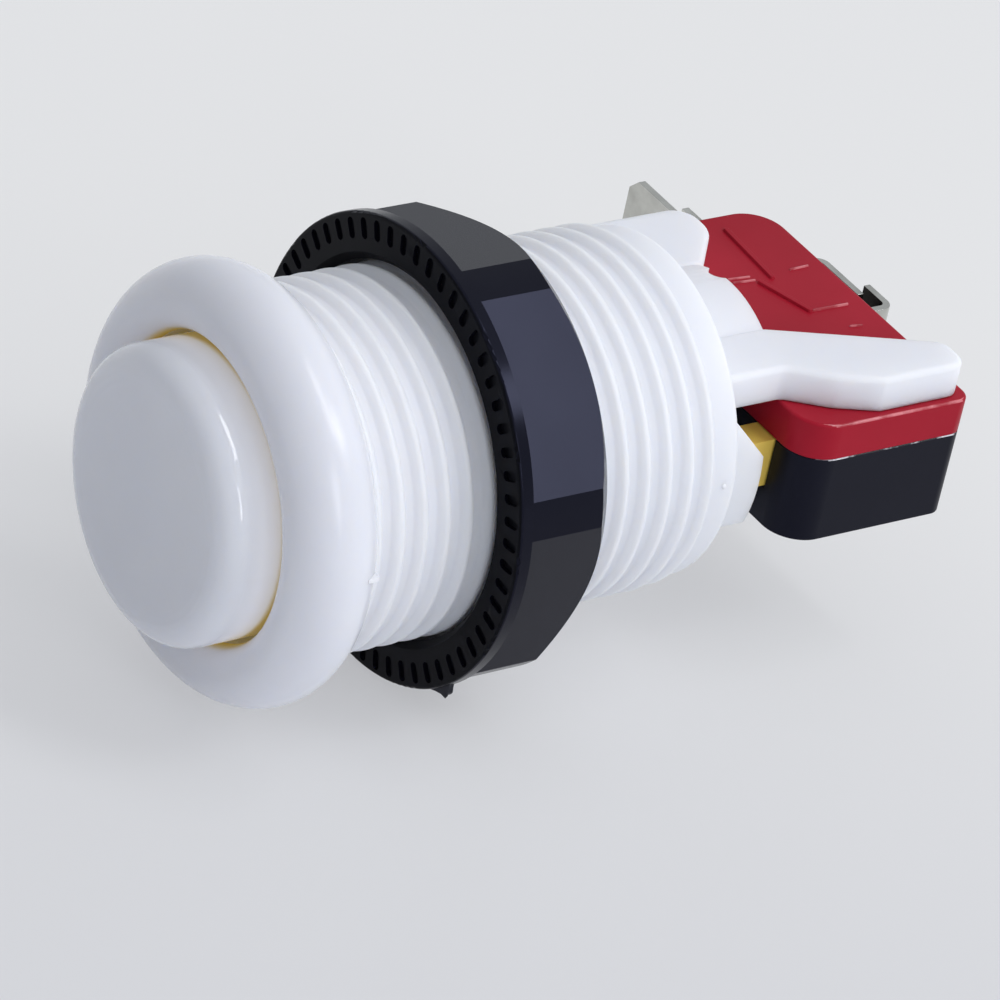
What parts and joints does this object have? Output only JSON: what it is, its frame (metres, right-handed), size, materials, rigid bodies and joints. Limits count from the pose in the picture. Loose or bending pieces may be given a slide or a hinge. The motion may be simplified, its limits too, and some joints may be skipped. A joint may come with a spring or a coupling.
{
  "type": "arcade push button",
  "caption": "White arcade push button with a round bezel, a threaded barrel, a black panel nut and a snap-action switch held across its rear by a moulded yoke.",
  "frame": {"origin": "on the button's axis, in the plane of the bezel's underside, where the button sits on its panel", "axes": "+Y along the axis from the face to the switch, +Z out of the switch's cover, +X towards the end of the switch with the actuator"},
  "size_m": [0.0411, 0.0688, 0.0354],
  "materials": {
    "white_body": "gloss",
    "white_plunger": "gloss",
    "spring_steel": "satin",
    "black_nut": "gloss",
    "black_case": "satin",
    "red_cover": "satin",
    "yellow_pin": "satin",
    "plated_terminal": "satin",
    "blade_brass": "satin",
    "contact_silver": "satin"
  },
  "bodies": {
    "body": {"button_body": "white_body", "return_spring": "spring_steel", "switch_base": "black_case", "switch_cover": "red_cover", "common_terminal": "plated_terminal", "normally_closed_terminal": "plated_terminal", "normally_open_terminal": "plated_terminal", "normally_closed_contact": "contact_silver", "normally_open_contact": "contact_silver"},
    "plunger": {"plunger": "white_plunger"},
    "nut": {"panel_nut": "black_nut"},
    "actuator": {"switch_actuator": "yellow_pin"},
    "blade": {"contact_blade": "blade_brass", "snap_spring": "spring_steel", "moving_contact": "contact_silver"}
  },
  "joints": [
    {"name": "plunger_press", "type": "slide", "parent": "body", "child": "plunger", "axis": [0, 1, 0], "range_m": [0, 0.0022], "stiffness_N_per_m": 150, "springref_m": -0.006, "deforming": ["return_spring"]},
    {"name": "actuator_slide", "type": "slide", "parent": "body", "child": "actuator", "axis": [0, 1, 0], "range_m": [0, 0.0023]},
    {"name": "blade_pivot", "type": "hinge", "parent": "body", "child": "blade", "pos_m": [-0.0066, 0.0424, 0], "axis": [0, 0, 1], "range_deg": [0, 8.1]},
    {"name": "nut_travel", "type": "slide", "parent": "body", "child": "nut", "axis": [0, 1, 0], "range_m": [-0.0095, 0.011]}
  ],
  "couplings": [
    {"joint": "actuator_slide", "follows": "plunger_press", "ratio": 1},
    {"joint": "blade_pivot", "follows": "plunger_press", "rad_per_m": 63.5}
  ]
}
